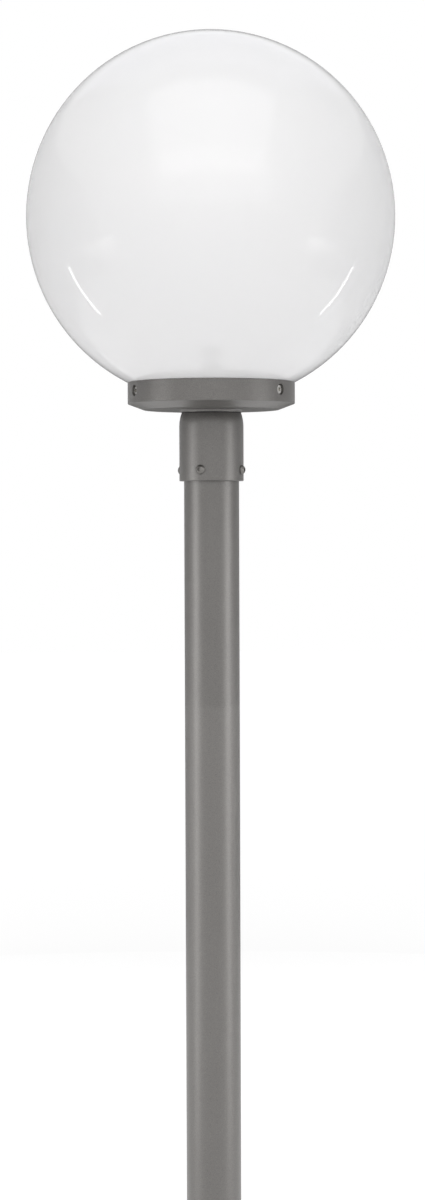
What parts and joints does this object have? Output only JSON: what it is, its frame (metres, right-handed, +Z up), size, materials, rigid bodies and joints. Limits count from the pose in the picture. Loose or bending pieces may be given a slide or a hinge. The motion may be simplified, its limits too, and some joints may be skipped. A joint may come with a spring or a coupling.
{
  "type": "globe street lamp",
  "caption": "Post-top globe lamp: an opal ball in a shallow cast gallery, on a sleeve clamped to a round grey pole with a square flanged foot.",
  "frame": {"origin": "on the ground, at the centre of the base plate's underside and on the pole's axis", "axes": "+Z up along the pole; -Y is the front, the side that the picture shows; +X to the right in that view"},
  "size_m": [0.4, 0.4, 1.4299],
  "materials": {
    "painted_steel": "satin",
    "painted_aluminium": "satin",
    "opal_plastic": "gloss",
    "stainless_steel": "satin",
    "zinc_steel": "satin",
    "black_rubber": "matte",
    "black_nylon": "matte",
    "porcelain": "gloss",
    "brass": "satin",
    "lamp_glass": "gloss",
    "cream_nylon": "matte",
    "live_lead": "matte",
    "neutral_lead": "matte",
    "earth_lead": "matte"
  },
  "bodies": {
    "root": {"base_plate": "painted_steel", "base_weld": "painted_steel", "pole_tube": "painted_steel", "sleeve": "painted_aluminium", "gallery": "painted_aluminium", "globe": "opal_plastic", "sleeve_screws": "stainless_steel", "globe_screws": "stainless_steel", "fixing_screws": "stainless_steel", "fixing_washers": "stainless_steel", "earth_washer": "stainless_steel", "earth_tag": "stainless_steel", "lampholder_bracket": "zinc_steel", "bracket_screws": "zinc_steel", "lampholder_screws": "zinc_steel", "terminal_screws": "zinc_steel", "block_screws": "zinc_steel", "sleeve_seal": "black_rubber", "globe_gasket": "black_rubber", "gland_insert": "black_rubber", "gland_body": "black_nylon", "gland_locknut": "black_nylon", "gland_cap": "black_nylon", "lampholder_body": "porcelain", "lampholder_shell": "brass", "lampholder_contact": "brass", "lampholder_clamps": "brass", "lampholder_clamp_screws": "brass", "terminal_barrels": "brass", "earth_screw": "brass", "lamp": "lamp_glass", "terminal_block": "cream_nylon", "lead_live": "live_lead", "lead_neutral": "neutral_lead", "lead_earth": "earth_lead"}
  },
  "joints": []
}
